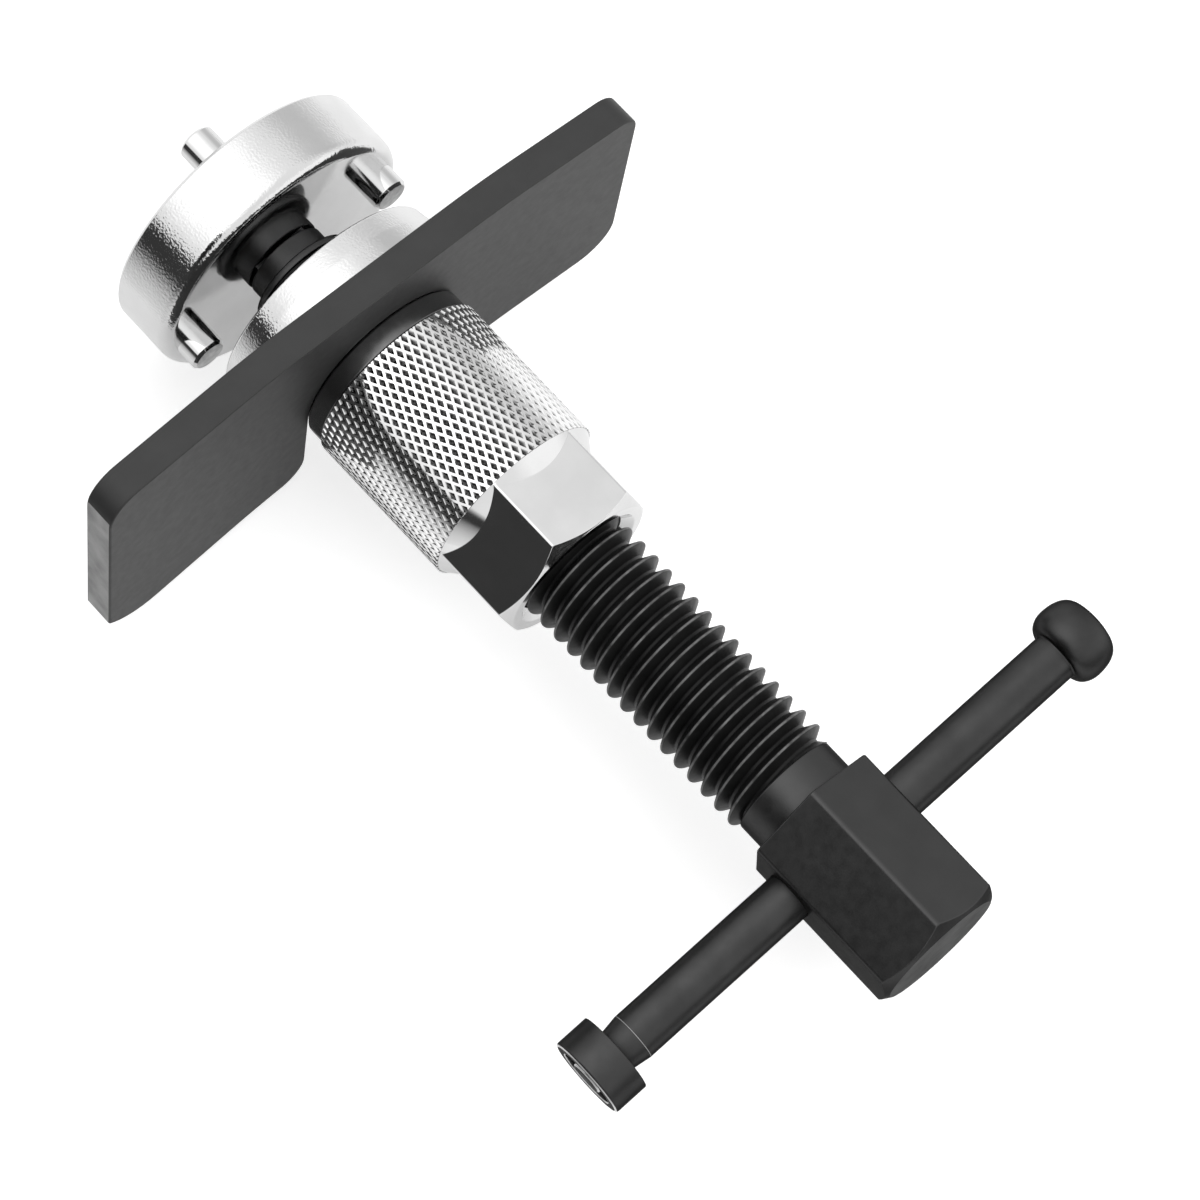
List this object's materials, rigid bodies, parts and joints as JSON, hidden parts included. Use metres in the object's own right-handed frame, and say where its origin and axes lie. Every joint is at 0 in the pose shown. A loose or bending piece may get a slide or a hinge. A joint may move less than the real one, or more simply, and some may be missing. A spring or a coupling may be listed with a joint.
{
  "type": "brake caliper piston wind-back tool",
  "caption": "Screw press with a knurled hex nut, slotted reaction plate, pin adaptor disc and sliding tommy bar, for winding disc brake pistons back.",
  "frame": {"origin": "on the screw axis, at the front face of the adaptor disc, in the middle of the front drive pins", "axes": "+Y along the screw axis towards the piston, +X along the plate on the side of the bar's knob, +Z away from the mouth of the plate's slot"},
  "size_m": [0.1072, 0.1659, 0.048],
  "materials": {
    "black_steel": "black oxide, satin",
    "plate_black": "black phosphate, matt",
    "bright_plating": "bright nickel and chrome plating",
    "disc_plating": "bright plating over a cast, rippled rim",
    "black_rubber": "smooth black rubber",
    "magnet": "nickel plated"
  },
  "bodies": {
    "nut": {"drive_nut": "bright_plating", "thrust_collar": "bright_plating"},
    "ring": {"spacer_ring": "black_rubber"},
    "plate": {"reaction_plate": "plate_black"},
    "tip": {"tip_magnet": "magnet"},
    "screw": {"forcing_screw": "black_steel"},
    "bar": {"tommy_bar": "black_steel", "bar_end_cap": "black_steel"},
    "adaptor": {"adaptor_disc": "disc_plating", "left_rear_pin": "bright_plating", "right_rear_pin": "bright_plating", "upper_front_pin": "bright_plating", "lower_front_pin": "bright_plating"}
  },
  "joints": [
    {"name": "plate_swivel", "type": "hinge", "parent": "nut", "child": "ring", "pos_m": [0, -0.036, 0], "axis": [0, 1, 0], "continuous": true},
    {"name": "plate_pull", "type": "slide", "parent": "ring", "child": "plate", "axis": [0, 0, 1], "range_m": [0, 0.045]},
    {"name": "screw_feed", "type": "slide", "parent": "nut", "child": "tip", "axis": [0, 1, 0], "range_m": [0, 0.0451]},
    {"name": "screw_turn", "type": "hinge", "parent": "tip", "child": "screw", "pos_m": [0, -0.1, 0], "axis": [0, 1, 0], "range_deg": [0, 5400]},
    {"name": "bar_slide", "type": "slide", "parent": "screw", "child": "bar", "axis": [0.9848, 0, 0.1736], "range_m": [-0.032, 0.034]},
    {"name": "adaptor_pull", "type": "slide", "parent": "screw", "child": "adaptor", "axis": [0, 1, 0], "range_m": [0, 0.015]}
  ],
  "couplings": [
    {"joint": "screw_feed", "follows": "screw_turn", "m_per_rad": 0.00047746}
  ]
}
